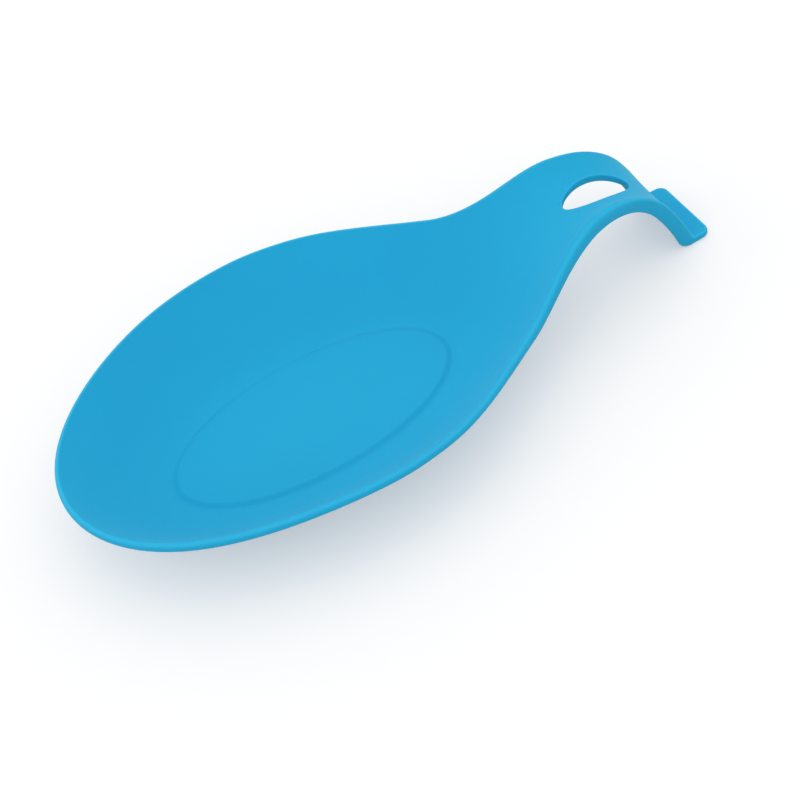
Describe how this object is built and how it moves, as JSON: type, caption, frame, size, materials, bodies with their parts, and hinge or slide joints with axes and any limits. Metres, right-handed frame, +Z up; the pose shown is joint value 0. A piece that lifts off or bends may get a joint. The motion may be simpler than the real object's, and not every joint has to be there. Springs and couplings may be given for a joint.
{
  "type": "spoon rest",
  "caption": "Oval silicone bowl that holds a spoon or ladle, with a waist and an arched handle that stands on a turned-out foot and has a hanging hole.",
  "frame": {"origin": "middle of the object's box, seen from above, on the surface that it stands on", "axes": "+X from the bowl's tip towards the handle and foot, +Y across the bowl, +Z up"},
  "size_m": [0.1968, 0.101, 0.032],
  "materials": {
    "silicone": "matte moulded silicone rubber, sky blue all through"
  },
  "bodies": {
    "root": {"rest_body": "silicone"}
  },
  "joints": []
}
